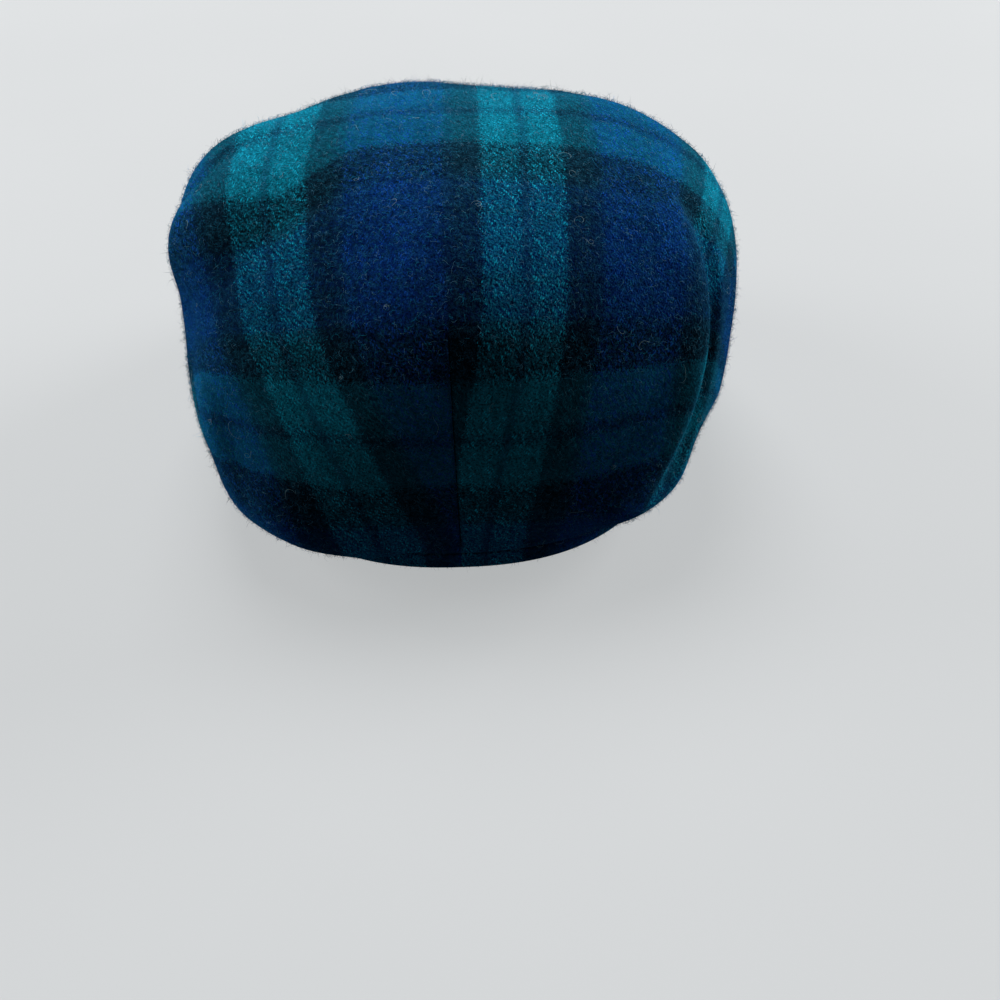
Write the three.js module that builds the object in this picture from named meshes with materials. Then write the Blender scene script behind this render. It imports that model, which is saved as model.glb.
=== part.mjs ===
// A flat cap of brushed tartan wool, standing on its opening.
// One piece of cloth makes the deep crown, drawn in at the back of the neck by one dart. A narrow turned band
// goes round the opening, and a stiff cloth-covered peak stands out in front, under the crown's edge.
// Millimetres, +Z up, the peak towards +Y. The origin is on the floor, under the middle of the whole cap.
import * as THREE from 'three';

// Driving dimensions
const CROWN_WIDTH = 228;       // across the widest part of the sides
const CROWN_HEIGHT = 146;      // floor to the top of the crown
const OPENING_WIDTH = 184;     // outside the band
const OPENING_LENGTH = 200;    // outside the band, back to front
const BACK_OVERHANG = 6;       // how far the crown stands out behind the opening
const FRONT_OVERHANG = 42;     // how far the crown reaches out over the peak
const CLOTH = 2;               // thickness of the crown's cloth
const BAND_HEIGHT = 7;         // the turned edge that shows below the dark stitched line
const BAND_THICKNESS = 3.2;    // folded cloth
const BAND_SOFTNESS = 0.25;    // how much of its thickness the rounding of each upper corner takes
const BAND_LAP = 1.4;          // how far the crown's edge lies in over the band
const PEAK_REACH = 64;         // from the band to the peak's front edge
const PEAK_THICKNESS = 3.2;    // covered board
const PEAK_ROOT_RISE = 4.2;    // height of the peak's middle layer where it meets the band
const PEAK_ARCH = 6;           // how much higher the peak's front edge is in the middle than at its root
const PEAK_DROOP = 2.2;        // how much lower its corners are than the root
const PEAK_SWEEP = 64;         // degrees that the peak goes round to each side of the front
const PEAK_CORNER = 8;         // width left at the peak's ends
const PEAK_TAPER = 0.85;       // how fast it narrows towards them
const PEAK_EDGE = 0.55;        // thickness left at its rim, as a share
const FOLD_DEPTH = 6;          // the deepest fold in the crown
const FOLD_WIDTH = 20;         // the widest fold's half width
const DART_DEPTH = 1.7;        // how deep the dart's seam is drawn in
const DART_WIDTH = 3.6;        // half width of that groove
const SEAM_GAP = 0.3;          // clearance between sewn pieces

// Shapes of the outlines seen from above: 2 is an ellipse, more is squarer
const OPENING_SQUARENESS = 2.35;
const BACK_SQUARENESS = 2.65;
const FRONT_SQUARENESS = 2.1;
const TOP_SQUARENESS = 2.5;

// The upright profile at bearings from the back, in degrees. belly is the height of the widest point as a
// share of the crown's height, slope shapes the curve from there to the top, and tuck the one below it.
const PROFILES = [
  { bearing: 0, belly: 0.47, slope: 0.455, tuck: 1.35 },
  { bearing: 35, belly: 0.15, slope: 0.41, tuck: 1.35 },
  { bearing: 90, belly: 0.47, slope: 0.335, tuck: 2.1 },
  { bearing: 135, belly: 0.26, slope: 0.8, tuck: 2.1 },
  { bearing: 180, belly: 0.12, slope: 1.15, tuck: 2.0 },
];

// Folds run up the crown. from and to are the bearings of their lower and upper ends, positive on the
// wearer's right, low and high those ends' heights as shares of the crown's height. depth is a share of
// FOLD_DEPTH, positive outwards, and width a share of FOLD_WIDTH.
const FOLDS = [
  { name: 'right valley', from: 48, to: 76, low: 0.06, high: 0.94, depth: -1.4, width: 0.55 },
  { name: 'right wing', from: 70, to: 92, low: 0.24, high: 0.9, depth: 0.5, width: 0.75 },
  { name: 'right back edge', from: 38, to: 60, low: 0, high: 0.9, depth: 0.35, width: 0.6 },
  { name: 'left wing', from: -70, to: -64, low: 0.62, high: 0.99, depth: 1.1, width: 1.5 },
  { name: 'left waist', from: -80, to: -86, low: 0.1, high: 0.72, depth: -1.2, width: 1.1 },
  { name: 'left fold', from: -44, to: -54, low: 0, high: 0.6, depth: 0.5, width: 0.7 },
  { name: 'left back corner', from: -36, to: -40, low: 0, high: 0.36, depth: 0.5, width: 1.2 },
];
const DART_TOP = 0.76;         // share of the crown's height where the dart runs out
const DART_FADE = 0.6;         // share of DART_TOP from which its groove grows shallower

// Grid
const BEARING_STEP = 6;
const DART_COLUMNS = [-2.4, -1.2, 1.2, 2.4];
const VALLEY_COLUMNS = [39, 45, 51, 57, 63, 69, 75, 81, 87];
const CROWN_ROWS = 26;
const CURVE_POINTS = 48;
const PEAK_COLUMNS = 28;
const PEAK_ROWS = 5;

const radians = THREE.MathUtils.degToRad;
const bearings = [...Array(360 / BEARING_STEP)].map((_, i) => i * BEARING_STEP - 180)
  .concat(DART_COLUMNS, VALLEY_COLUMNS).sort((a, b) => a - b);

// Half-size of the outline seen from above, along a bearing from the back
function outline(bearing, halfWidth, backReach, frontReach, backSquareness) {
  const side = Math.abs(Math.sin(radians(bearing)));
  const along = Math.cos(radians(bearing));
  const reach = along > 0 ? backReach : frontReach;
  const towardsBack = THREE.MathUtils.smoothstep(along, -1, 1);
  const power = THREE.MathUtils.lerp(FRONT_SQUARENESS, backSquareness, towardsBack);
  return ((side / halfWidth) ** power + (Math.abs(along) / reach) ** power) ** (-1 / power);
}

function openingReach(bearing) {
  return outline(bearing, OPENING_WIDTH / 2, OPENING_LENGTH / 2, OPENING_LENGTH / 2, OPENING_SQUARENESS);
}

function crownReach(bearing) {
  const half = OPENING_LENGTH / 2;
  return outline(bearing, CROWN_WIDTH / 2, half + BACK_OVERHANG, half + FRONT_OVERHANG, BACK_SQUARENESS);
}

// One column of PROFILES at any bearing, alike on both sides
function profile(bearing, column) {
  const turn = Math.abs(bearing);
  const next = PROFILES.findIndex((row) => row.bearing > turn);
  const last = PROFILES[PROFILES.length - 1];
  if (next < 0) return last[column];
  const [a, b] = [PROFILES[next - 1], PROFILES[next]];
  const share = THREE.MathUtils.smoothstep(turn, a.bearing, b.bearing);
  return THREE.MathUtils.lerp(a[column], b[column], share);
}

// Points of one upright profile as (reach, height), evenly spaced from the band to the top
function meridian(bearing) {
  const start = openingReach(bearing) - BAND_LAP;
  const belly = crownReach(bearing);
  const bottom = BAND_HEIGHT + SEAM_GAP;
  const bellyHeight = profile(bearing, 'belly') * CROWN_HEIGHT;
  const slope = profile(bearing, 'slope');
  const power = 2 / profile(bearing, 'tuck');
  const points = [];
  for (let i = 0; i < CURVE_POINTS; i += 1) {
    const turn = (i / CURVE_POINTS) * Math.PI / 2;
    const height = bottom + (bellyHeight - bottom) * (1 - Math.cos(turn) ** power);
    points.push(new THREE.Vector2(start + (belly - start) * Math.sin(turn) ** power, height));
  }
  for (let i = 0; i <= CURVE_POINTS; i += 1) {
    const share = Math.cos((i / CURVE_POINTS) * Math.PI / 2);
    const height = bellyHeight + (CROWN_HEIGHT - bellyHeight) * (1 - share ** TOP_SQUARENESS) ** slope;
    points.push(new THREE.Vector2(belly * share, height));
  }
  const path = new THREE.CurvePath();
  for (let i = 1; i < points.length; i += 1) path.add(new THREE.LineCurve(points[i - 1], points[i]));
  return path.getSpacedPoints(CROWN_ROWS);
}

// Smooth hump, 1 in the middle and 0 from -1 and 1 outwards
function hump(x) {
  return Math.abs(x) < 1 ? (1 - x * x) ** 2 : 0;
}

// How far the folds and the dart push the cloth outwards at one place
function foldAt(bearing, reach, height) {
  const share = height / CROWN_HEIGHT;
  let push = 0;
  for (const fold of FOLDS) {
    const along = (share - fold.low) / (fold.high - fold.low);
    const centre = THREE.MathUtils.lerp(fold.from, fold.to, along);
    const offset = radians(bearing - centre) * reach;
    push += fold.depth * FOLD_DEPTH * hump(2 * along - 1) * hump(offset / (fold.width * FOLD_WIDTH));
  }
  const dartFade = 1 - THREE.MathUtils.smoothstep(share, DART_TOP * DART_FADE, DART_TOP);
  return push - DART_DEPTH * dartFade * hump(radians(bearing) * reach / DART_WIDTH);
}

function place(bearing, reach, height) {
  return new THREE.Vector3(
    reach * Math.sin(radians(bearing)),
    -reach * Math.cos(radians(bearing)),
    height,
  );
}

// Outward direction at a grid point, from its neighbours
function outward(grid, row, column) {
  const columns = bearings.length;
  const up = grid[Math.min(row + 1, CROWN_ROWS)][column].clone().sub(grid[Math.max(row - 1, 0)][column]);
  const round = grid[row][(column + 1) % columns].clone().sub(grid[row][(column + columns - 1) % columns]);
  return round.cross(up).normalize();
}

function geometryOf(vertices, faces) {
  const geometry = new THREE.BufferGeometry();
  const numbers = vertices.flatMap((vertex) => vertex.toArray());
  geometry.setAttribute('position', new THREE.Float32BufferAttribute(numbers, 3));
  geometry.setIndex(faces);
  geometry.computeVertexNormals();
  return geometry;
}

// The crown: an outer and an inner skin of cloth, joined at the edge that lies on the band
function crownGeometry() {
  const columns = bearings.length;
  const curves = bearings.map(meridian);
  const smooth = [];
  for (let row = 0; row <= CROWN_ROWS; row += 1) {
    const level = curves.map((curve) => curve[row]);
    smooth.push(level.map((point, column) => place(bearings[column], point.x, point.y)));
  }
  const vertices = [];
  const skins = [0, -CLOTH].map((offset) => {
    const first = vertices.length;
    for (let row = 0; row < CROWN_ROWS; row += 1) {
      for (let column = 0; column < columns; column += 1) {
        const { x: reach, y: height } = curves[column][row];
        const push = row === 0 ? 0 : foldAt(bearings[column], reach, height);
        const direction = outward(smooth, row, column);
        const point = smooth[row][column].clone().addScaledVector(direction, push + offset);
        vertices.push(point);
      }
    }
    vertices.push(new THREE.Vector3(0, 0, CROWN_HEIGHT + offset));
    return first;
  });
  const faces = [];
  const quad = (a, b, c, d, flip) => {
    if (flip) faces.push(a, c, b, a, d, c);
    else faces.push(a, b, c, a, c, d);
  };
  skins.forEach((first, skin) => {
    const top = first + CROWN_ROWS * columns;
    for (let column = 0; column < columns; column += 1) {
      const next = (column + 1) % columns;
      for (let row = 0; row + 1 < CROWN_ROWS; row += 1) {
        const low = first + row * columns;
        const high = low + columns;
        quad(low + column, low + next, high + next, high + column, skin === 1);
      }
      const last = top - columns;
      if (skin === 0) faces.push(last + column, last + next, top);
      else faces.push(last + next, last + column, top);
    }
  });
  for (let column = 0; column < columns; column += 1) {
    const next = (column + 1) % columns;
    quad(skins[1] + column, skins[1] + next, skins[0] + next, skins[0] + column, false);
  }
  return geometryOf(vertices, faces);
}

// The band: a ring of folded cloth with a flat foot and softened upper corners
function bandGeometry() {
  const columns = bearings.length;
  const soften = BAND_THICKNESS * BAND_SOFTNESS;
  const section = [
    [0, 0],
    [0, BAND_HEIGHT - soften],
    [-soften, BAND_HEIGHT],
    [-BAND_THICKNESS + soften, BAND_HEIGHT],
    [-BAND_THICKNESS, BAND_HEIGHT - soften],
    [-BAND_THICKNESS, 0],
  ];
  const vertices = [];
  for (const bearing of bearings) {
    const outside = openingReach(bearing);
    for (const [inwards, height] of section) vertices.push(place(bearing, outside + inwards, height));
  }
  const faces = [];
  for (let column = 0; column < columns; column += 1) {
    for (let corner = 0; corner < section.length; corner += 1) {
      const after = (corner + 1) % section.length;
      const here = column * section.length;
      const there = ((column + 1) % columns) * section.length;
      faces.push(here + corner, there + corner, there + after, here + corner, there + after, here + after);
    }
  }
  return geometryOf(vertices, faces);
}

// The peak: a covered board, arched in the middle, whose root follows the band and lies under the crown
function peakGeometry() {
  const vertices = [];
  for (const side of [1, -1]) {
    for (let column = 0; column <= PEAK_COLUMNS; column += 1) {
      const across = (column / PEAK_COLUMNS) * 2 - 1;
      const bearing = 180 + across * PEAK_SWEEP;
      const fullness = Math.max(1 - across * across, 0) ** PEAK_TAPER;
      const width = PEAK_CORNER + (PEAK_REACH - PEAK_CORNER) * fullness;
      for (let row = 0; row <= PEAK_ROWS; row += 1) {
        const out = row / PEAK_ROWS;
        const lift = PEAK_ARCH * fullness - PEAK_DROOP * (1 - fullness);
        const edge = out < 1 ? 1 : PEAK_EDGE;
        const height = PEAK_ROOT_RISE + lift * out + side * edge * PEAK_THICKNESS / 2;
        const reach = openingReach(bearing) + SEAM_GAP + width * out;
        vertices.push(place(bearing, reach, height));
      }
    }
  }
  const stride = PEAK_ROWS + 1;
  const under = (PEAK_COLUMNS + 1) * stride;
  const faces = [];
  const quad = (a, b, c, d) => faces.push(a, b, c, a, c, d);
  for (let column = 0; column < PEAK_COLUMNS; column += 1) {
    const here = column * stride;
    const there = here + stride;
    for (let row = 0; row < PEAK_ROWS; row += 1) {
      quad(here + row, here + row + 1, there + row + 1, there + row);
      quad(under + there + row, under + there + row + 1, under + here + row + 1, under + here + row);
    }
    quad(here, there, under + there, under + here);
    quad(there + PEAK_ROWS, here + PEAK_ROWS, under + here + PEAK_ROWS, under + there + PEAK_ROWS);
  }
  for (let row = 0; row < PEAK_ROWS; row += 1) {
    const far = PEAK_COLUMNS * stride;
    quad(row + 1, row, under + row, under + row + 1);
    quad(far + row, far + row + 1, under + far + row + 1, under + far + row);
  }
  return geometryOf(vertices, faces);
}

function piece(name, geometry, colour, roughness) {
  const material = new THREE.MeshStandardMaterial({ color: colour, roughness, metalness: 0 });
  const mesh = new THREE.Mesh(geometry, material);
  mesh.name = name;
  return mesh;
}

const cap = new THREE.Group();
cap.add(piece('crown', crownGeometry(), 0x0b2f52, 0.95));
cap.add(piece('hem_band', bandGeometry(), 0x071a2a, 0.95));
cap.add(piece('peak', peakGeometry(), 0x0c3a5c, 0.92));

// The whole cap's middle goes over the origin
const bounds = new THREE.Box3().setFromObject(cap);
const middle = bounds.getCenter(new THREE.Vector3());
cap.position.set(-middle.x, -middle.y, -bounds.min.z);

const group = new THREE.Group();
group.add(cap);
export default group;
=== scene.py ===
"""A deep flat cap of brushed tartan wool, standing on its opening and seen from behind.

The crown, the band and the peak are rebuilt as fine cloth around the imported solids. Every point of the
cloth knows its place in the flat cloth, so the tartan runs unbroken over the crown and is swallowed by the
dart. Fibres stand on the crown and the band, each in the colour of the threads that it comes from.
"""

import math

import bpy
import numpy as np
from mathutils import Matrix, Vector, noise


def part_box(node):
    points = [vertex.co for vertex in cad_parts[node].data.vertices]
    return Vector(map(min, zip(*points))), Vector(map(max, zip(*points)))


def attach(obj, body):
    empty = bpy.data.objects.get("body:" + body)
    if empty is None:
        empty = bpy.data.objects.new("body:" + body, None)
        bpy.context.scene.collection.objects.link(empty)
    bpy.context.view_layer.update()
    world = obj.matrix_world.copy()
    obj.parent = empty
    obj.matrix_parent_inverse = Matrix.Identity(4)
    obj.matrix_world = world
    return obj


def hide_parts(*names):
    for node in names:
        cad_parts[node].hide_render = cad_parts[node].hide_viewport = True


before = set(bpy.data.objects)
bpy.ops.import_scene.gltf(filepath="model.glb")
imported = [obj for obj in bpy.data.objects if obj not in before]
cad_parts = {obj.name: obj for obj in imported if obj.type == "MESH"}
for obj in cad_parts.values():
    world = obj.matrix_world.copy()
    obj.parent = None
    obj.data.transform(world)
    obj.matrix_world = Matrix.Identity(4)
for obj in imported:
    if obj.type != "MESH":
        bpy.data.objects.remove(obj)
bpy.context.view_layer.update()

# Sizes in millimetres, as in the part's source
CROWN_WIDTH = 228.0
CROWN_HEIGHT = 146.0
OPENING_WIDTH = 184.0
OPENING_LENGTH = 200.0
BACK_OVERHANG = 6.0
FRONT_OVERHANG = 42.0
CLOTH = 2.0
BAND_HEIGHT = 7.0
BAND_THICKNESS = 3.2
BAND_LAP = 1.4
SEAM_GAP = 0.3
PEAK_REACH = 64.0
PEAK_THICKNESS = 3.2
PEAK_ROOT_RISE = 4.2
PEAK_ARCH = 6.0
PEAK_DROOP = 2.2
PEAK_SWEEP = 64.0
PEAK_CORNER = 8.0
PEAK_TAPER = 0.85
FOLD_DEPTH = 6.0
FOLD_WIDTH = 20.0
DART_TOP = 0.76
OPENING_SQUARENESS = 2.35
BACK_SQUARENESS = 2.65
FRONT_SQUARENESS = 2.1
TOP_SQUARENESS = 2.5

# The crown's upright profile: bearing from the back, belly, slope and tuck, as in the part's source
PROFILES = np.array([
    (0, 0.47, 0.455, 1.35),
    (35, 0.15, 0.41, 1.35),
    (90, 0.47, 0.335, 2.1),
    (135, 0.26, 0.8, 2.1),
    (180, 0.12, 1.15, 2.0),
])
# Folds: bearings of the lower and upper end, their heights as shares of the crown's, then depth and width
# as shares of FOLD_DEPTH and FOLD_WIDTH
FOLDS = [
    (38, 72, 0.06, 0.94, -0.7, 0.42),
    (70, 92, 0.24, 0.9, 0.25, 0.75),
    (38, 60, 0.0, 0.9, 0.2, 0.6),
    (-70, -64, 0.62, 0.99, 1.1, 1.5),
    (-80, -86, 0.1, 0.72, -1.2, 1.1),
    (-44, -54, 0.0, 0.6, 0.5, 0.7),
    (-36, -40, 0.0, 0.36, 0.5, 1.2),
    (-70, -84, 0.55, 0.97, -0.6, 0.4),
    (-80, -95, 0.5, 0.97, 0.12, 0.5),
]

# Ledges, where a full part of the crown ends at a crease: bearings of the lower and upper end and their
# heights as shares of the crown's, then in millimetres the rise, its run on the side of the dart and its
# drop on the other
LEDGES = [
    (33, 68, 0.08, 0.94, 2.9, 24.0, 6.0),
    (-66, -80, 0.52, 0.97, 1.8, 20.0, 4.0),
]

# Finer forms that only the cloth has
HEM_STEP = 0.2                 # by which the crown's lowest edge stands inside the band's face
HEM_ROWS = 5                   # rows over which the crown's cloth swings out to the band
HEM_ROUNDING = 0.7
BAND_ROUNDINGS = (0.8, 1.4)    # of the band's upper outer and upper inner edge
VALLEY_DEPTH = 0.9             # of the soft hollow along the dart
VALLEY_WIDTH = 9.0
CLEFT_DEPTH = 1.9              # of the narrow seam in that hollow
CLEFT_WIDTH = 1.3
DART_FADE = 0.8                # share of the dart's height above which both run out
PUCKER_HEIGHT = 0.11           # half of a pucker's, as a share of the crown's
# Puckers at the dart's tip: height as a share of the crown's, millimetres to the right, push and spread
PUCKERS = [
    (0.63, 4.5, -1.3, 5.5),
    (0.62, -4.5, 0.9, 5.5),
    (0.74, 0.5, 0.7, 10.0),
]
# Soft swellings and hollows: x and y of the middle as shares of half the crown's width, z of its height,
# the spread as a share of half the width, and the push in millimetres
SWELLS = [
    (-0.965, -0.32, 0.53, 0.44, -5.0),
    (-0.79, 0.07, 0.87, 0.31, 2.2),
    (-0.93, -0.10, 0.76, 0.28, -2.0),
    (-0.90, -0.55, 0.25, 0.30, -1.8),
    (0.91, -0.56, 0.19, 0.22, -4.3),
    (0.53, 0.15, 0.94, 0.31, 1.8),
    (0.17, 0.36, 0.96, 0.26, -2.8),
    (0.38, 0.27, 0.94, 0.14, 0.8),
    (-0.38, 0.25, 0.945, 0.18, 1.4),
]
# Where the cloth hangs lower over the band: bearing, degrees to each side, millimetres down and outwards
HEM_SAGS = [
    (-38, 16, 1.6, 1.0),
    (-24, 14, 5.0, 4.0),
    (43, 14, 1.2, 0.6),
]
SAG_HEIGHT = 15.0              # of the sagging cloth's middle, and half its extent
# Soft low waves of worn cloth: waves in a millimetre, and their height in millimetres
CLOTH_WAVES = [
    (0.011, 1.1),
    (0.03, 0.45),
    (0.08, 0.16),
]
FOLD_ROWS = 3                  # rows above the band over which the folds grow
WAVE_ROWS = 8                  # and the waves

# Fineness of the cloth
CROWN_STEPS = [(36.0, 1.6), (96.0, 0.85), (180.0, 2.1)]    # up to a bearing, degrees between columns
FINE_COLUMNS = 14              # each side of the dart
FINE_SWEEP = 4.0               # degrees
CROWN_ROWS = 128
INNER_STEP = 4                 # the inner skin has one row for so many of the outer ones
BAND_COLUMNS = 240
PEAK_COLUMNS = 96
PEAK_ROWS = 18
CURVE_POINTS = 96

SEED = 7                       # of the random draws
MM = 0.001
TINY = 1e-12                   # keeps a length of nothing from being divided by
UPWARDS = (0, 0, 1)
low_corner, high_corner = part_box("hem_band")
CENTRE = np.array([(low_corner.x + high_corner.x) / 2, (low_corner.y + high_corner.y) / 2, 0.0]) / MM
rng = np.random.default_rng(SEED)


# Helpers for meshes

def new_mesh(name, points, faces, material, smooth=True):
    """An object on the part's only body, from points in millimetres about the middle of the opening and
    faces that are all triangles or all quads."""
    points = (np.asarray(points, float) + CENTRE) * MM
    faces = np.asarray(faces, np.int32)
    mesh = bpy.data.meshes.new(name)
    mesh.vertices.add(len(points))
    mesh.vertices.foreach_set("co", points.astype(np.float32).ravel())
    mesh.loops.add(faces.size)
    mesh.loops.foreach_set("vertex_index", faces.ravel())
    mesh.polygons.add(len(faces))
    starts = np.arange(0, faces.size, faces.shape[1], dtype=np.int32)
    mesh.polygons.foreach_set("loop_start", starts)
    mesh.update(calc_edges=True)
    mesh.validate()
    mesh.polygons.foreach_set("use_smooth", np.full(len(mesh.polygons), smooth))
    for one in material if isinstance(material, list) else [material]:
        mesh.materials.append(one)
    piece = bpy.data.objects.new(name, mesh)
    bpy.context.scene.collection.objects.link(piece)
    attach(piece, "root")
    return piece


def write_cloth_map(piece, u, v):
    """Writes the place in the flat cloth, in metres, of every face corner."""
    layer = piece.data.uv_layers.new(name="cloth")
    both = np.stack([u.ravel(), v.ravel()], -1) * MM
    layer.data.foreach_set("uv", both.astype(np.float32).ravel())


def add_cloth_map(piece, corners, bearing):
    """The map of cloth that is drawn into the dart. Each face lies wholly on one side of it."""
    side = np.where(bearing >= 0, 1, -1)[:, None]
    write_cloth_map(piece, *cloth_place(corners, np.broadcast_to(side, corners.shape[:2])))


def grid_faces(rows, columns):
    """Quads of a grid whose points are numbered row by row, and whose columns go round."""
    across = np.arange(columns)
    after = (across + 1) % columns
    row = np.arange(rows - 1)[:, None] * columns
    quads = np.stack([row + across, row + after, row + columns + after, row + columns + across], -1)
    return quads.reshape(-1, 4)


def square_directions(heading, reference):
    """Two unit directions square to a heading and to each other."""
    first = np.cross(heading, reference)
    first /= np.linalg.norm(first, axis=-1, keepdims=True) + TINY
    return first, np.cross(heading, first)


def ring(centre, first, second, radius, sides=3):
    """Points round a centre, in the plane of two directions."""
    turns = [2 * math.pi * side / sides for side in range(sides)]
    return [centre + (first * math.cos(turn) + second * math.sin(turn)) * radius for turn in turns]


def smoothstep(x):
    x = np.clip(x, 0, 1)
    return x * x * (3 - 2 * x)


def ease(x, limits):
    """0 below the first limit and 1 above the second."""
    return smoothstep((x - limits[0]) / (limits[1] - limits[0]))


def hump(x):
    return (1 - np.clip(x * x, 0, 1)) ** 2


# The crown's surface

def outline(bearing, half_width, back, front, back_squareness):
    """Reach of a plan outline that is rounder at the front."""
    angle = np.radians(bearing)
    along = np.cos(angle)
    power = FRONT_SQUARENESS + (back_squareness - FRONT_SQUARENESS) * smoothstep((along + 1) / 2)
    reach = np.where(along > 0, back, front)
    across = np.abs(np.sin(angle)) / half_width
    return (across ** power + (np.abs(along) / reach) ** power) ** (-1 / power)


def opening_reach(bearing):
    half = OPENING_LENGTH / 2
    return outline(bearing, OPENING_WIDTH / 2, half, half, OPENING_SQUARENESS)


def crown_reach(bearing):
    half = OPENING_LENGTH / 2
    return outline(bearing, CROWN_WIDTH / 2, half + BACK_OVERHANG, half + FRONT_OVERHANG, BACK_SQUARENESS)


def profile(bearing, column):
    """One column of PROFILES, blended between its rows."""
    turn = np.abs(bearing)
    row = np.clip(np.searchsorted(PROFILES[:, 0], turn, side="right") - 1, 0, len(PROFILES) - 2)
    share = smoothstep((turn - PROFILES[row, 0]) / (PROFILES[row + 1, 0] - PROFILES[row, 0]))
    return PROFILES[row, column] * (1 - share) + PROFILES[row + 1, column] * share


def meridians(bearing, rows):
    """Reach and height of evenly spaced points up each upright profile."""
    start = opening_reach(bearing) - BAND_LAP
    belly = crown_reach(bearing)
    bottom = BAND_HEIGHT + SEAM_GAP
    belly_height = profile(bearing, 1) * CROWN_HEIGHT
    slope = profile(bearing, 2)
    power = 2 / profile(bearing, 3)
    turn = (np.arange(CURVE_POINTS) / CURVE_POINTS * np.pi / 2)[:, None]
    low_height = bottom + (belly_height - bottom) * (1 - np.cos(turn) ** power)
    low_reach = start + (belly - start) * np.sin(turn) ** power
    turn = (np.arange(CURVE_POINTS + 1) / CURVE_POINTS * np.pi / 2)[:, None]
    share = np.clip(np.cos(turn), 0, 1)
    high_height = belly_height + (CROWN_HEIGHT - belly_height) * (1 - share ** TOP_SQUARENESS) ** slope
    reach = np.vstack([low_reach, belly * share])
    height = np.vstack([low_height, high_height])
    steps = np.hypot(np.diff(reach, axis=0), np.diff(height, axis=0))
    arc = np.vstack([np.zeros(len(bearing)), np.cumsum(steps, axis=0)])
    even = np.zeros((rows + 1, len(bearing), 2))
    for column in range(len(bearing)):
        places = np.linspace(0, arc[-1, column], rows + 1)
        even[:, column, 0] = np.interp(places, arc[:, column], reach[:, column])
        even[:, column, 1] = np.interp(places, arc[:, column], height[:, column])
    return even[..., 0], even[..., 1]


def place(bearing, reach, height):
    bearing, reach, height = np.broadcast_arrays(bearing, reach, height)
    angle = np.radians(bearing)
    return np.stack([reach * np.sin(angle), -reach * np.cos(angle), height], -1)


def grid_normals(grid):
    up = np.gradient(grid, axis=0)
    around = np.roll(grid, -1, 1) - np.roll(grid, 1, 1)
    normal = np.cross(around, up)
    return normal / (np.linalg.norm(normal, axis=-1, keepdims=True) + TINY)


def fold_push(bearing, reach, height):
    """How far folds, dart and puckers push the cloth outwards."""
    share = height / CROWN_HEIGHT
    push = np.zeros_like(share)
    for start, end, low, high, depth, width in FOLDS:
        along = (share - low) / (high - low)
        centre = start + (end - start) * along
        offset = np.radians(bearing - centre) * reach
        push += depth * FOLD_DEPTH * hump(2 * along - 1) * hump(offset / (width * FOLD_WIDTH))
    for start, end, low, high, rise, run, drop in LEDGES:
        along = (share - low) / (high - low)
        offset = np.radians(bearing - (start + (end - start) * along)) * reach * np.sign(start)
        push += rise * hump(2 * along - 1) * hump(offset / np.where(offset < 0, run, drop))
    fade = 1 - smoothstep((share - DART_TOP * DART_FADE) / (DART_TOP * (1 - DART_FADE)))
    across = np.radians(bearing) * reach
    push -= VALLEY_DEPTH * fade * hump(across / VALLEY_WIDTH)
    push -= CLEFT_DEPTH * fade * hump(across / CLEFT_WIDTH)
    for centre, side, size, spread in PUCKERS:
        push += size * hump((share - centre) / PUCKER_HEIGHT) * hump((across - side) / spread)
    return push


def cloth_unevenness(grid):
    """Height of the soft waves at every point, in millimetres."""
    flat = grid.reshape(-1, 3)
    height = np.zeros(len(flat))
    for frequency, size in CLOTH_WAVES:
        height += size * np.array([noise.noise(Vector(p * frequency)) for p in flat])
    return height.reshape(grid.shape[:-1])


def crown_bearings():
    """Bearings of the columns from the front round to the front, close together at the dart."""
    fine = np.linspace(0, FINE_SWEEP, FINE_COLUMNS, endpoint=False)
    coarse = []
    start = FINE_SWEEP
    for end, step in CROWN_STEPS:
        coarse.append(np.linspace(start, end, round((end - start) / step), endpoint=False))
        start = end
    right = np.concatenate([fine, *coarse, [180.0]])
    return np.concatenate([-right[:0:-1], right[:-1]])


def crown_grid():
    """Outer surface as a grid of rows from the band up, with its bearings."""
    bearing = crown_bearings()
    reach, height = meridians(bearing, CROWN_ROWS)
    row = np.arange(CROWN_ROWS + 1)[:, None]
    reach = reach + (BAND_LAP - HEM_STEP) * (1 - smoothstep(row / HEM_ROWS))
    base = place(bearing[None, :], reach, height)
    normal = grid_normals(base)
    normal[-1] = UPWARDS
    push = fold_push(bearing[None, :], reach, height) * smoothstep(row / FOLD_ROWS)
    push += cloth_unevenness(base) * smoothstep(row / WAVE_ROWS)
    half = CROWN_WIDTH / 2
    for x, y, z, spread, size in SWELLS:
        middle = np.array([x * half, y * half, z * CROWN_HEIGHT])
        push += size * hump(np.linalg.norm(base - middle, axis=-1) / (spread * half))
    push[-1] = push[-1].mean()
    grid = base + normal * push[..., None]
    for middle, sweep, down, out in HEM_SAGS:
        near = hump((bearing[None, :] - middle) / sweep) * hump((height - SAG_HEIGHT) / SAG_HEIGHT)
        grid += near[..., None] * place(bearing[None, :], out, -down)
    grid[0] -= normal[0] * HEM_ROUNDING
    return bearing, grid


# Where each point lies in the flat cloth

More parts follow.
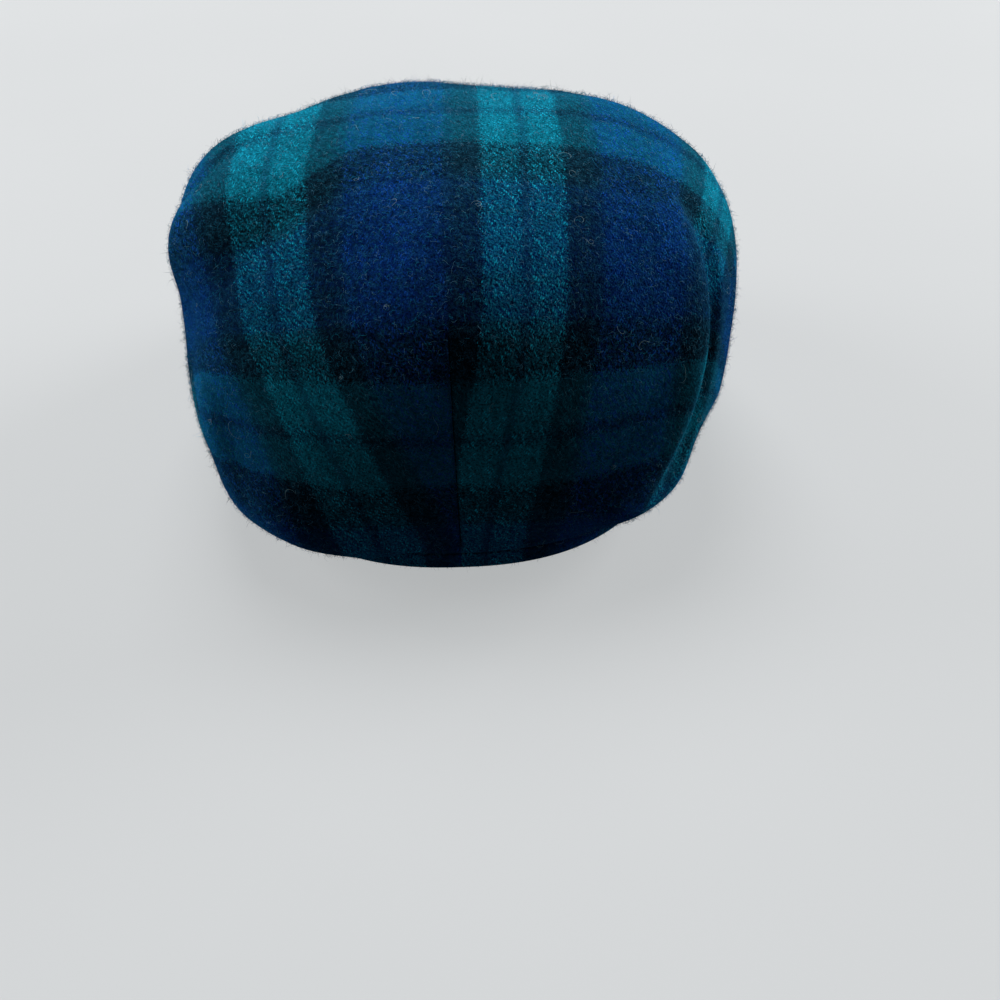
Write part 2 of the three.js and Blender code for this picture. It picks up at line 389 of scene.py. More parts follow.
CLOTH_AXIS_HEIGHT = 45.0       # of the line from side to side about which the cloth was moulded
TOP_CLEARANCE = 15.0           # above that line, from which the centre line counts as the cap's top
LINE_ROWS = 200                # of each half of the centre line
DART_TIP = 112.0               # from the hem up the back, along the cloth
DART_TAKES_LEFT = 35.0         # cloth that the dart swallows at the hem, on each side
DART_TAKES_RIGHT = 18.0
DART_FOOT = 12.0               # length up the cloth below which it swallows no more
DART_BOW = 0.25                # how much sooner than evenly it does so, as a share
SIDE_TURN = (52.0, 84.0)       # bearings over which the back's cloth turns into the sides'
FRONT_TURN = (112.0, 150.0)    # and the sides' into the front's
SIDE_RADIUS = 110.0
TOP_RADIUS = 60.0              # round the crown's middle, within which the back's cloth runs on
DART_EASING = 8.0              # millimetres of cloth over which the stripes start to swing to the dart
CREASE_TAKES = 20.0            # cloth that the right crease swallows
CREASE_RUN = 6.0               # over which it does, in millimetres
CREASE_FADE = (0.56, 0.92)     # shares of the crown's height over which it ends
CREASE_SIDE = (78.0, 125.0)    # bearings over which it is made up again
DROOP = 20.0                   # by which the weft hangs lower at the upper left
DROOP_START = (28.0, 62.0)     # millimetres to the left over which it does
DROOP_RISE = (105.0, 155.0)    # lengths up the cloth over which the droop grows
DROOP_FALL = (215.0, 260.0)    # and fades again


def centre_line():
    """Angle, distance from the axis, length along the cloth, y and z of points up the back and down the
    front."""
    reach, height = meridians(np.array([0.0, 180.0]), LINE_ROWS)
    y = np.concatenate([-reach[:, 0], reach[::-1, 1][1:]])
    z = np.concatenate([height[:, 0], height[::-1, 1][1:]])
    y = np.concatenate([[y[0]], y, [y[-1]]])
    z = np.concatenate([[0.0], z, [0.0]])
    angle = np.degrees(np.arctan2(z - CLOTH_AXIS_HEIGHT, -y))
    angle = np.where(angle < -90, angle + 360, angle)
    arc = np.r_[0, np.cumsum(np.hypot(np.diff(y), np.diff(z)))]
    return angle, np.hypot(y, z - CLOTH_AXIS_HEIGHT), arc, y, z


LINE_ANGLE, LINE_RADIUS, LINE_ARC, LINE_Y, LINE_Z = centre_line()
LINE_TOP = LINE_Z > CLOTH_AXIS_HEIGHT + TOP_CLEARANCE


def crease_takes(turn, reach, share):
    """Cloth that the right crease has swallowed at a bearing, a reach and a share of the crown's height."""
    start, end, low, high = LEDGES[0][:4]
    beyond = np.radians(turn - (start + (end - start) * (share - low) / (high - low))) * reach
    swallowed = CREASE_TAKES * smoothstep(beyond / CREASE_RUN)
    swallowed *= (1 - ease(share, CREASE_FADE)) * (1 - ease(turn, CREASE_SIDE))
    return np.where(turn > 0, swallowed, 0.0)


def cloth_place(points, side):
    """(u, v) in millimetres: u across from the centre back, v from the hem at the back, over the top."""
    x, y, z = points[..., 0], points[..., 1], points[..., 2] - CLOTH_AXIS_HEIGHT
    radius = np.sqrt(x * x + y * y + z * z)
    angle = np.degrees(np.arctan2(z, -y))
    angle = np.where(angle < -90, angle + 360, angle)
    back_v = np.interp(angle, LINE_ANGLE, LINE_ARC)
    mean = (np.interp(angle, LINE_ANGLE, LINE_RADIUS) + radius) / 2
    back_u = np.arcsin(np.clip(x / radius, -1, 1)) * mean
    below = np.logaddexp(0, (DART_TIP - back_v) / DART_EASING) * DART_EASING
    taken = np.clip(below / (DART_TIP - DART_FOOT), 0, 1)
    taken = (taken - DART_BOW * taken * taken) / (1 - DART_BOW)
    back_u = back_u + np.where(side > 0, DART_TAKES_RIGHT, -DART_TAKES_LEFT) * taken
    side_u = np.arctan2(x, z) * SIDE_RADIUS
    side_v = np.interp(y, LINE_Y[LINE_TOP], LINE_ARC[LINE_TOP])
    turn = np.degrees(np.arctan2(x, -y))
    reach = np.hypot(x, y)
    swallowed = crease_takes(turn, reach, points[..., 2] / CROWN_HEIGHT)
    bearing = np.abs(turn)
    share = ease(bearing, SIDE_TURN) * (1 - ease(bearing, FRONT_TURN)) * smoothstep(reach / TOP_RADIUS)
    droop = DROOP * ease(-x, DROOP_START) * ease(back_v, DROOP_RISE)
    back_v = back_v + droop * (1 - ease(back_v, DROOP_FALL))
    return back_u * (1 - share) + side_u * share + swallowed, back_v * (1 - share) + side_v * share


# The tartan, in threads of one half repeat. It is mirrored at both ends.
# D and L are the thin dark lines in blue and in green, which the nap has half hidden. M is where the nap
# blends black into blue.
SETT = [
    ("B", 11), ("D", 4), ("B", 4), ("D", 4), ("B", 4), ("M", 6), ("K", 16),
    ("G", 22), ("L", 5), ("G", 21),
    ("K", 16), ("M", 6), ("B", 22), ("D", 4), ("B", 2),
]
HALF_REPEAT = sum(count for _, count in SETT)
GREEN_MIDDLE = 73              # threads from the sett's first end to the middle of its green
WARP_THREAD = 0.626            # millimetres, across
WEFT_THREAD = 0.96             # millimetres, up
WARP_START = -18.5             # u of the sett's first end
LOW_GREEN = 70.0               # v of the middle of the lower green stripe
WEFT_START = LOW_GREEN + GREEN_MIDDLE * WEFT_THREAD
YARN = {
    "B": (0.0020, 0.020, 0.130),
    "K": (0.0024, 0.0060, 0.0110),
    "G": (0.0025, 0.145, 0.210),
    "D": (0.0020, 0.015, 0.078),
    "L": (0.0030, 0.043, 0.082),
    "M": (0.0022, 0.009, 0.032),
}
# The yarn whose fibres stand on each one
NAP_YARN = {"B": "B", "K": "K", "G": "G", "D": "B", "L": "K", "M": "K"}
EYE_GAMMA = 2.2                # the yarns' fibres blend as the eye sees them, not as paint


def yarn_at(position, start, thread):
    """Which yarn lies at a place along the cloth, as an index into YARN."""
    edges = np.cumsum([count for _, count in SETT])
    order = np.array([list(YARN).index(letter) for letter, _ in SETT])
    threads = np.abs((position - start) / thread) % (2 * HALF_REPEAT)
    threads = np.minimum(threads, 2 * HALF_REPEAT - threads)
    return order[np.clip(np.searchsorted(edges, threads, side="right"), 0, len(order) - 1)]


# Look of the wool. A grain is a noise's scale, per metre, and a span is the part of its range that counts.
WIDE_SPAN = (0.3, 0.7)
FRAY = 3.0                     # threads by which the nap blurs the stripes' edges
FRAY_GRAIN = 1500.0
JITTER = 1.0                   # threads by which the floats of the weave wander
JITTER_GRAIN = 420.0
TWILL_STEPS = 4                # weft threads from one float of a warp thread to its next
NAP_GRAIN = 1300.0
NAP_SPAN = (0.36, 0.64)
# Painted shade: the cloth is drawn darker where the nap is low, between the fibres
NAP_PAINTED_SHADE = (0.25, 1.2)       # of the cloth between the fibres and on them
WARP_SHARES = (0.08, 0.88)     # of the warp's colour where the nap is low and where it is high
PATCH_GRAIN = 330.0
PATCH_SPAN = (0.38, 0.60)
FLOAT_SHARES = (0.05, 0.55)    # of the weave in patches that the nap hides and in bare ones
CLOUD_GRAIN = 45.0
CLOUD_SHADES = (0.78, 1.22)
# Painted highlight: the tops of the twill's floats are drawn lighter than the cloth
HIGHLIGHT_FROM = 0.18              # height on a float from which it is lighter than the cloth
HIGHLIGHT_STRENGTH = 6.0              # and by how much, for each unit above that
TIP_GRAIN = 1100.0
TIP_SPAN = (0.58, 0.72)
TIP_SHARE = 0.4                # of a fibre tip's colour at most
TIP_COLOUR = (0.006, 0.080, 0.135)
# Fine curled down on the cloth: its grain and the light that it adds
DOWN_LINES = [
    (900.0, (0.005, 0.038, 0.062)),
    (1500.0, (0.005, 0.032, 0.052)),
]
DOWN_WIDTH = (0.015, 0.055)    # distance of the noise from its middle at which a hair is full and is gone
DOWN_PATCH = 2.3               # how much wider than the down its patches are
DOWN_SPAN = (0.44, 0.58)
RELIEF_WEAVE = 0.35            # height of the weave as a share of the nap's
RELIEF_STRENGTH = 0.6
RELIEF_HEIGHT = 0.0006         # metres


# Materials

class Nodes:
    """Short ways to add and join shader nodes."""

    def __init__(self, name):
        self.material = bpy.data.materials.new(name)
        self.material.use_nodes = True
        self.tree = self.material.node_tree
        self.shader = self.tree.nodes["Principled BSDF"]

    def put(self, kind, **settings):
        node = self.tree.nodes.new(kind)
        for key, value in settings.items():
            setattr(node, key, value)
        return node

    def join(self, output, socket):
        self.tree.links.new(output, socket)

    def math(self, operation, first, second=None, clamp=False):
        node = self.put("ShaderNodeMath", operation=operation, use_clamp=clamp)
        for socket, value in zip(node.inputs, (first, second)):
            if value is None:
                continue
            if isinstance(value, (int, float)):
                socket.default_value = value
            else:
                self.join(value, socket)
        return node.outputs[0]

    def noise(self, vector, scale, detail=2.0, roughness=0.5):
        node = self.put("ShaderNodeTexNoise")
        node.inputs["Scale"].default_value = scale
        node.inputs["Detail"].default_value = detail
        node.inputs["Roughness"].default_value = roughness
        self.join(vector, node.inputs["Vector"])
        return node.outputs["Fac"]

    def between(self, value, low, high, to_low=0.0, to_high=1.0):
        node = self.put("ShaderNodeMapRange")
        for socket, number in zip(list(node.inputs)[1:5], (low, high, to_low, to_high)):
            socket.default_value = number
        self.join(value, node.inputs["Value"])
        return node.outputs["Result"]

    def mix(self, share, first, second, blend="MIX"):
        node = self.put("ShaderNodeMix", data_type="RGBA", blend_type=blend)
        colours = [s for s in node.inputs if s.type == "RGBA"]
        for socket, value in ((node.inputs[0], share), (colours[0], first), (colours[1], second)):
            if isinstance(value, (int, float)):
                socket.default_value = value
            elif isinstance(value, tuple):
                socket.default_value = (*value, 1.0)
            else:
                self.join(value, socket)
        return next(s for s in node.outputs if s.type == "RGBA")


def stripes(nodes, position, start, thread, wobble):
    """Colour of the sett along one coordinate in metres, as the eye sees it. wobble, in threads, frays the
    edges."""
    threads = nodes.math("DIVIDE", nodes.math("SUBTRACT", position, start * MM), thread * MM)
    threads = nodes.math("ADD", threads, wobble)
    folded = nodes.math("PINGPONG", threads, float(HALF_REPEAT))
    ramp = nodes.put("ShaderNodeValToRGB")
    ramp.color_ramp.interpolation = "CONSTANT"
    elements = ramp.color_ramp.elements
    edge = 0
    for number, (letter, count) in enumerate(SETT):
        element = elements[number] if number < 2 else elements.new(1.0)
        element.position = edge / HALF_REPEAT
        element.color = (*[part ** (1 / EYE_GAMMA) for part in YARN[letter]], 1.0)
        edge += count
    nodes.join(nodes.math("DIVIDE", folded, float(HALF_REPEAT)), ramp.inputs["Fac"])
    return ramp.outputs["Color"]


def twill(nodes, u, v, spot):
    """Height of the warp's floats: each thread floats over two weft threads, one step further up than its
    neighbour."""
    jitter = nodes.between(nodes.noise(spot, JITTER_GRAIN), *WIDE_SPAN, -JITTER, JITTER)
    across = nodes.math("ADD", nodes.math("DIVIDE", u, WARP_THREAD * MM), jitter)
    along = nodes.math("ADD", nodes.math("DIVIDE", v, WEFT_THREAD * MM), jitter)
    number = nodes.math("FLOOR", across)
    inside = nodes.math("SUBTRACT", nodes.math("MULTIPLY", nodes.math("FRACT", across), 2.0), 1.0)
    rounded = nodes.math("SUBTRACT", 1.0, nodes.math("MULTIPLY", inside, inside))
    step = nodes.math("MULTIPLY", nodes.math("ADD", number, along), 2 * math.pi / TWILL_STEPS)
    return nodes.math("MULTIPLY", nodes.math("SINE", step), rounded)


def shaded(nodes, cloth, nap, weave, spot):
    """The cloth, with painted shade between the fibres and a painted highlight on top of the floats."""
    clouds = nodes.noise(spot, CLOUD_GRAIN, detail=3.0, roughness=0.6)
    clouds = nodes.between(clouds, *WIDE_SPAN, *CLOUD_SHADES)
    # Painted shade between the fibres, where the nap is low
    shade = nodes.math("MULTIPLY", nodes.between(nap, *NAP_SPAN, *NAP_PAINTED_SHADE), clouds)
    # Painted highlight on the tops of the floats
    float_highlights = nodes.math("MAXIMUM", nodes.math("SUBTRACT", weave, HIGHLIGHT_FROM), 0.0)
    shade = nodes.math("ADD", shade, nodes.math("MULTIPLY", float_highlights, HIGHLIGHT_STRENGTH))
    grey = nodes.put("ShaderNodeCombineXYZ")
    for socket in grey.inputs:
        nodes.join(shade, socket)
    return nodes.mix(1.0, cloth, grey.outputs[0], "MULTIPLY")


def downy(nodes, cloth, spot):
    """The cloth with paler fibre tips and fine curled down."""
    tips = nodes.between(nodes.noise(spot, TIP_GRAIN, roughness=0.7), *TIP_SPAN, 0.0, TIP_SHARE)
    cloth = nodes.mix(tips, cloth, TIP_COLOUR)
    for grain, colour in DOWN_LINES:
        ridge = nodes.math("ABSOLUTE", nodes.math("SUBTRACT", nodes.noise(spot, grain), 0.5))
        patch = nodes.between(nodes.noise(spot, grain / DOWN_PATCH, detail=1.0), *DOWN_SPAN)
        line = nodes.math("MULTIPLY", nodes.between(ridge, *DOWN_WIDTH, 1.0, 0.0), patch)
        cloth = nodes.mix(line, cloth, colour, "ADD")
    return cloth


def tartan_wool(name):
    """The cloth's material, which reads the place in the flat cloth from the mesh."""
    nodes = Nodes(name)
    uv = nodes.put("ShaderNodeUVMap", uv_map="cloth")
    split = nodes.put("ShaderNodeSeparateXYZ")
    nodes.join(uv.outputs["UV"], split.inputs[0])
    u, v = split.outputs["X"], split.outputs["Y"]
    spot = nodes.put("ShaderNodeTexCoord").outputs["Object"]

    nap = nodes.noise(spot, NAP_GRAIN, roughness=0.6)
    patches = nodes.noise(spot, PATCH_GRAIN, roughness=0.6)
    bare = nodes.between(patches, *PATCH_SPAN, *FLOAT_SHARES)
    weave = nodes.math("MULTIPLY", twill(nodes, u, v, spot), bare)
    over = nodes.math("ADD", weave, nodes.between(nap, *WIDE_SPAN, *WARP_SHARES), clamp=True)
    fray = nodes.between(nodes.noise(spot, FRAY_GRAIN), *WIDE_SPAN, -FRAY, FRAY)
    warp = stripes(nodes, u, WARP_START, WARP_THREAD, fray)
    weft = stripes(nodes, v, WEFT_START, WEFT_THREAD, fray)
    blend = nodes.put("ShaderNodeGamma")
    blend.inputs["Gamma"].default_value = EYE_GAMMA
    nodes.join(nodes.mix(over, weft, warp), blend.inputs["Color"])
    cloth = shaded(nodes, blend.outputs["Color"], nap, weave, spot)
    nodes.join(downy(nodes, cloth, spot), nodes.shader.inputs["Base Color"])

    relief = nodes.math("ADD", nodes.math("MULTIPLY", weave, RELIEF_WEAVE), nap)
    bump = nodes.put("ShaderNodeBump")
    bump.inputs["Strength"].default_value = RELIEF_STRENGTH
    bump.inputs["Distance"].default_value = RELIEF_HEIGHT
    nodes.join(relief, bump.inputs["Height"])
    nodes.join(bump.outputs["Normal"], nodes.shader.inputs["Normal"])
    set_wool_gloss(nodes.shader)
    return nodes.material


def set_wool_gloss(shader):
    shader.inputs["Roughness"].default_value = 0.95
    shader.inputs["Specular IOR Level"].default_value = 0.0
    shader.inputs["Sheen Weight"].default_value = 0.16
    shader.inputs["Sheen Roughness"].default_value = 0.45
    shader.inputs["Sheen Tint"].default_value = (0.04, 0.5, 1.0, 1.0)


def fibre_colour(name, colour):
    material = bpy.data.materials.new(name)
    material.use_nodes = True
    shader = material.node_tree.nodes["Principled BSDF"]
    shader.inputs["Base Color"].default_value = (*colour, 1.0)
    set_wool_gloss(shader)
    return material


ROOM_COLOUR = (0.92, 0.95, 0.96)
FLOOR_GLOW = 0.48              # light that the bright room adds to the floor
WALL_GLOW = 0.54
FLOOR_TONES = ((0.145, 0.147, 0.150), (0.155, 0.157, 0.160))
FLOOR_GRAIN = 3.0


def pale_wall():
    nodes = Nodes("pale_wall")
    nodes.shader.inputs["Base Color"].default_value = (0.0, 0.0, 0.0, 1.0)
    nodes.shader.inputs["Specular IOR Level"].default_value = 0.0
    nodes.shader.inputs["Emission Color"].default_value = (*ROOM_COLOUR, 1.0)
    nodes.shader.inputs["Emission Strength"].default_value = WALL_GLOW
    return nodes.material


def pale_floor():
    nodes = Nodes("pale_floor")
    spot = nodes.put("ShaderNodeTexCoord").outputs["Object"]
    tone = nodes.between(nodes.noise(spot, FLOOR_GRAIN), *WIDE_SPAN)
    nodes.join(nodes.mix(tone, *FLOOR_TONES), nodes.shader.inputs["Base Color"])
    nodes.shader.inputs["Emission Color"].default_value = (*ROOM_COLOUR, 1.0)
    nodes.shader.inputs["Emission Strength"].default_value = FLOOR_GLOW
    nodes.shader.inputs["Roughness"].default_value = 0.9
    nodes.shader.inputs["Specular IOR Level"].default_value = 0.1
    return nodes.material


# Crown

SEAM_WIDTH = 0.6
SEAM_LIFT = -0.05              # of its middle from the bottom of the cleft
SEAM_TOP = 0.97                # share of the dart's height at which it ends
SEAM_FOOT = 2                  # row of the crown at which it starts
# The seam line is drawn near black, darker than any yarn: painted shade at the bottom of the dart's cleft
SEAM_SHADE_COLOUR = (0.0008, 0.0020, 0.0045)


def tube(line, normals, radius, sides=6):
    """Closed round tube along a line: vertices and triangles."""
    along = np.gradient(line, axis=0)
    along /= np.linalg.norm(along, axis=1, keepdims=True)
    first, second = square_directions(along, normals)
    points = np.stack(ring(line, first, second, radius, sides), 1).reshape(-1, 3)
    quads = grid_faces(len(line), sides)
    triangles = [quads[:, [0, 1, 2]], quads[:, [0, 2, 3]]]
    last = (len(line) - 1) * sides
    for side in range(1, sides - 1):
        triangles.append(np.array([(0, side + 1, side), (last, last + side, last + side + 1)]))
    return points, np.concatenate(triangles)


def build_dart_seam(bearing, outer, normal):
    """The sewn line in the bottom of the dart's cleft, drawn near black as painted shade of the cleft."""
    column = int(np.abs(bearing).argmin())
    line = outer[:, column]
    rows = np.flatnonzero(line[:, 2] < DART_TOP * SEAM_TOP * CROWN_HEIGHT)[SEAM_FOOT:]
    across = normal[rows, column]
    points, faces = tube(line[rows] + across * SEAM_LIFT, across, SEAM_WIDTH / 2)
    new_mesh("dart_seam", points, faces, fibre_colour("seam_painted_shade", SEAM_SHADE_COLOUR))


def build_crown(wool):
    """An outer and an inner skin, joined at the rim. Returns the outer one's bearings and grid."""
    bearing, outer = crown_grid()
    normal = grid_normals(outer)
    normal[-1] = UPWARDS
    columns = len(bearing)
    inner_rows = np.arange(0, CROWN_ROWS + 1, INNER_STEP)
    inner = (outer - normal * CLOTH)[inner_rows]
    points = np.concatenate([outer.reshape(-1, 3), inner.reshape(-1, 3)])
    first_inner = outer.shape[0] * columns
    outside = grid_faces(outer.shape[0], columns)
    inside = grid_faces(inner.shape[0], columns)[:, ::-1] + first_inner
    across = np.arange(columns)
    after = (across + 1) % columns
    rim = np.stack([first_inner + across, first_inner + after, after, across], -1)
    faces = np.concatenate([outside, inside, rim])
    piece = new_mesh("crown_cloth", points, faces, wool)
    # The inner skin's quads run the other way round, so their last corner has the first one's column
    column = faces[:, 0] % columns
    inner_quads = slice(len(outside), len(outside) + len(inside))
    column[inner_quads] = faces[inner_quads, 3] % columns
    add_cloth_map(piece, points[faces], bearing[column])
    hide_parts("crown")
    build_dart_seam(bearing, outer, normal)
    return bearing, outer


# Band

BAND_FACE = [(0.0, 0.5), (0.15, 2.0), (0.2, 3.5), (0.1, 5.0)]    # its outside, outwards and up
BAND_BEVEL = 0.4
ROUNDING_POINTS = 6
BAND_NAP_ROWS = 8              # of its section, on the outside, on which nap stands


def band_section():
    """Folded edge as (outwards, height), closed, from the outer foot round to the inner one."""
    round_out, round_in = BAND_ROUNDINGS
    points = list(BAND_FACE)
    for turn in np.linspace(0, math.pi / 2, ROUNDING_POINTS):
        points.append((-round_out * (1 - math.cos(turn)), BAND_HEIGHT - round_out * (1 - math.sin(turn))))
    for turn in np.linspace(math.pi / 2, math.pi, ROUNDING_POINTS):
        outwards = -BAND_THICKNESS + round_in * (1 + math.cos(turn))
        points.append((outwards, BAND_HEIGHT - round_in * (1 - math.sin(turn))))
    points.append((-BAND_THICKNESS, BAND_FACE[0][1]))
    points += [(-BAND_THICKNESS + BAND_BEVEL, 0.0), (-BAND_BEVEL, 0.0)]
    return np.array(points)


def build_band(wool):
    """A ring of its section. Returns its bearings and the outside's grid."""
    bearing = np.arange(BAND_COLUMNS) * 360 / BAND_COLUMNS - 180
    section = band_section()
    reach = opening_reach(bearing)[:, None] + section[None, :, 0]
    height = np.broadcast_to(section[None, :, 1], reach.shape)
    grid = place(bearing[:, None], reach, height)
    rows, columns = grid.shape[:2]
    points = grid.reshape(-1, 3)
    faces = grid_faces(rows + 1, columns)[:, [0, 3, 2, 1]] % len(points)
    piece = new_mesh("hem_band_cloth", points, faces, wool)
    add_cloth_map(piece, points[faces], bearing[faces[:, 0] // columns])
    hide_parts("hem_band")
    return bearing, grid[:, :BAND_NAP_ROWS].transpose(1, 0, 2)


# Peak

PEAK_CLOTH = (9.0, 30.0)       # what its u and v are ahead of x and y
PEAK_END = 0.04                # share of its sweep over which each end grows thin
PEAK_END_THICKNESS = 0.15      # share of its thickness that is left there
PEAK_RIM_POINTS = 9
PEAK_NAP_COLUMNS = 22          # from the +X end, on which fibres are rooted


def peak_point(across, out, lift):
    """A point of the peak's middle layer, raised by lift along +Z."""
    bearing = 180 + across * PEAK_SWEEP
    fullness = np.clip(1 - across * across, 0, 1) ** PEAK_TAPER
    width = PEAK_CORNER + (PEAK_REACH - PEAK_CORNER) * fullness
    bend = PEAK_ARCH * fullness - PEAK_DROOP * (1 - fullness)
    height = PEAK_ROOT_RISE + bend * out + lift
    return place(bearing, opening_reach(bearing) + SEAM_GAP + width * out, height)


def build_peak(wool):
    """Sections round its edge, with a cap on each end. Returns the grid on which its fibres are rooted."""
    half = PEAK_THICKNESS / 2
    across = np.linspace(-1, 1, PEAK_COLUMNS + 1)
    ends = np.sqrt(np.clip((1 - np.abs(across)) / PEAK_END, 0, 1))
    ends = PEAK_END_THICKNESS + (1 - PEAK_END_THICKNESS) * ends
    rim = half / PEAK_REACH
    flat = np.linspace(0, 1 - rim, PEAK_ROWS)
    turn = np.linspace(0, np.pi, PEAK_RIM_POINTS)[1:-1]
    out = np.concatenate([flat, 1 - rim + rim * np.sin(turn), flat[::-1]])
    lift = np.concatenate([np.full(PEAK_ROWS, half), half * np.cos(turn), np.full(PEAK_ROWS, -half)])
    grid = peak_point(across[:, None], out[None, :], lift[None, :] * ends[:, None])
    rows, columns = grid.shape[:2]
    faces = list(grid_faces(rows, columns))
    for row, order in ((0, 1), (rows - 1, -1)):
        first = row * columns
        last = first + columns - 1
        for step in range(PEAK_ROWS + 2):
            quad = (first + step, last - step, last - step - 1, first + step + 1)
            faces.append(quad[::order])
    points = grid.reshape(-1, 3)
    piece = new_mesh("peak_cloth", points, faces, wool)
    corners = points[np.array(faces)]
    write_cloth_map(piece, corners[..., 0] + PEAK_CLOTH[0], corners[..., 1] + PEAK_CLOTH[1])
    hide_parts("peak")
    return grid[:PEAK_NAP_COLUMNS][::-1]


# Nap

ROOT_DEPTH = 0.15              # by which a fibre's root is sunk in the cloth
FLOOR_CLEARANCE = 0.05
CROWN_SHARE, BAND_SHARE, PEAK_SHARE = 0.86, 0.05, 0.09
CLEFT_BARE = 0.85              # share of the dart's height up to which no fibre stands in its cleft
TOP_BARE = 2.0                 # millimetres round the crown's middle in which none stands
# Fibres: style, number, usual length, and least and greatest lean from upright in degrees
FIBRES = [
    ("short", 60000, 1.15, 22, 80),
    ("long", 31000, 2.3, 15, 70),
]
LENGTH_SPREAD = 0.4            # of the lengths' logarithms
LENGTH_LIMITS = (0.4, 6.0)
FIBRE_WIDTH = 0.085
WIDTH_SHARES = (0.7, 1.2)
SIDE_TILT = 0.3                # keeps the side of a fibre clear of its heading
CURL_TURN = 0.7                # sideways turn of a long fibre's upper half
CURL_FALL = (0.1, 0.7)         # and how far it bends down again
CURL_TAPER = 0.8               # its width at the joint, as a share
# Whose fibres are mixed where two yarns cross
NAP_KINDS = {
    "green": "GG",
    "green_blue": "GB",
    "green_dark": "GK",
    "blue": "BB",
    "blue_dark": "BK",
    "dark": "KK",
}
NAP_TONES = [0.45, 1.1, 3.0]   # brightness of each third of the fibres, as shares of the cloth's
NAP_LIFT = (0.001, 0.006, 0.010)     # pale yarn that is mixed into all the colours
# Curled hairs: name, number, straight pieces of each, shortest and longest piece, width and colour
HAIRS = [
    ("lint", 130, 9, 0.5, 1.3, 0.10, (0.20, 0.30, 0.34)),
    ("down_pale", 7200, 3, 0.35, 0.9, 0.08, (0.105, 0.22, 0.30)),
    ("down_teal", 5600, 3, 0.35, 0.9, 0.09, (0.012, 0.18, 0.28)),
]
HAIR_CURL = 0.22               # turn at the first joint, in radians
HAIR_WANDER = 0.3              # by which the turn changes from joint to joint
HAIR_RISE = (0.3, 1.0)         # of the middle
HAIR_ROOT = 0.1                # depth at which a hair starts
HAIR_LIFT = 0.25               # of every joint after it


def surface_samples(grid, normal, count, closed=True):
    """Random places on a grid of points: place, normal and the grid's column to the left."""
    rows = grid.shape[0] - 1
    columns = grid.shape[1] if closed else grid.shape[1] - 1
    right = np.roll(grid, -1, 1)
    area = np.linalg.norm(np.cross(right[:-1] - grid[:-1], grid[1:] - grid[:-1]), axis=-1)
    area = area[:, :columns].ravel()
    chosen = rng.choice(rows * columns, count, p=area / area.sum())
    row, column = chosen // columns, chosen % columns
    after = (column + 1) % grid.shape[1]
    a, b = rng.random((2, count, 1))

    def blend(field):
        low = field[row, column] * (1 - a) + field[row, after] * a
        high = field[row + 1, column] * (1 - a) + field[row + 1, after] * a
        return low * (1 - b) + high * b

    points, normals = blend(grid), blend(normal)
    normals /= np.linalg.norm(normals, axis=1, keepdims=True)
    return points, normals, column


def tangents(normals):
    """Unit directions along the surface, at a random turn round each normal."""
    spin = rng.normal(size=normals.shape)
    along = np.cross(normals, spin)
    return along / np.linalg.norm(along, axis=1, keepdims=True)


def fibre_starts(points, normals, lean):
    """Roots of fibres that lean over any way, their run along the cloth, their heading and two directions
    square to it."""
    along = tangents(normals)
    heading = along * np.sin(lean)[:, None] + normals * np.cos(lean)[:, None]
    first, second = square_directions(heading, along + normals * SIDE_TILT)
    return points - normals * ROOT_DEPTH, along, heading, first, second


def repeated(pattern, count, each):
    """Triangles of one fibre with so many vertices each, repeated for all of them."""
    return (np.arange(count)[:, None, None] * each + np.array(pattern)).reshape(-1, 3)


def spikes(points, normals, length, lean, width):
    """Closed three-sided straight fibres: vertices and triangles."""
    root, _, heading, first, second = fibre_starts(points, normals, lean)
    corners = ring(root, first, second, (width / 2)[:, None])
    corners.append(root + heading * length[:, None])
    pattern = [(0, 1, 3), (1, 2, 3), (2, 0, 3), (2, 1, 0)]
    return np.stack(corners, 1).reshape(-1, 3), repeated(pattern, len(points), len(corners))


def curls(points, normals, length, lean, width):
    """Closed three-sided fibres with one joint."""
    count = len(points)
    root, along, heading, first, second = fibre_starts(points, normals, lean)
    sideways = np.cross(normals, along) * rng.normal(0, CURL_TURN, (count, 1))
    turned = heading + sideways - normals * rng.uniform(*CURL_FALL, (count, 1))
    turned /= np.linalg.norm(turned, axis=1, keepdims=True)
    half = (length / 2)[:, None]
    middle = root + heading * half
    corners = ring(root, first, second, (width / 2)[:, None])
    corners += ring(middle, first, second, (width * CURL_TAPER / 2)[:, None])
    corners.append(middle + turned * half)
    pattern = [
        (0, 1, 4), (0, 4, 3), (1, 2, 5), (1, 5, 4), (2, 0, 3), (2, 3, 5),
        (3, 4, 6), (4, 5, 6), (5, 3, 6), (2, 1, 0),
    ]
    return np.stack(corners, 1).reshape(-1, 3), repeated(pattern, count, len(corners))


def nap_samples(crown, band, peak, number):
    """Places of fibres on all three pieces, with their normals and places in the flat cloth."""
    parts = []
    for bearing, grid, share in ((crown[0], crown[1], CROWN_SHARE), (band[0], band[1], BAND_SHARE)):
        points, normals, column = surface_samples(grid, grid_normals(grid), int(number * share))
        side = np.where(bearing[column] >= 0, 1, -1)
        reach = np.hypot(points[:, 0], points[:, 1])
        in_cleft = (np.abs(points[:, 0]) < CLEFT_WIDTH) & (points[:, 1] < 0)
        in_cleft &= points[:, 2] < DART_TOP * CLEFT_BARE * CROWN_HEIGHT
        u, v = cloth_place(points, side)
        keep = ~in_cleft & (reach > TOP_BARE)
        parts.append((points[keep], normals[keep], u[keep], v[keep]))
    count = int(number * PEAK_SHARE)
    points, normals, _ = surface_samples(peak, grid_normals(peak), count, closed=False)
    parts.append((points, normals, points[:, 0] + PEAK_CLOTH[0], points[:, 1] + PEAK_CLOTH[1]))
    return [np.concatenate(columns) for columns in zip(*parts)]


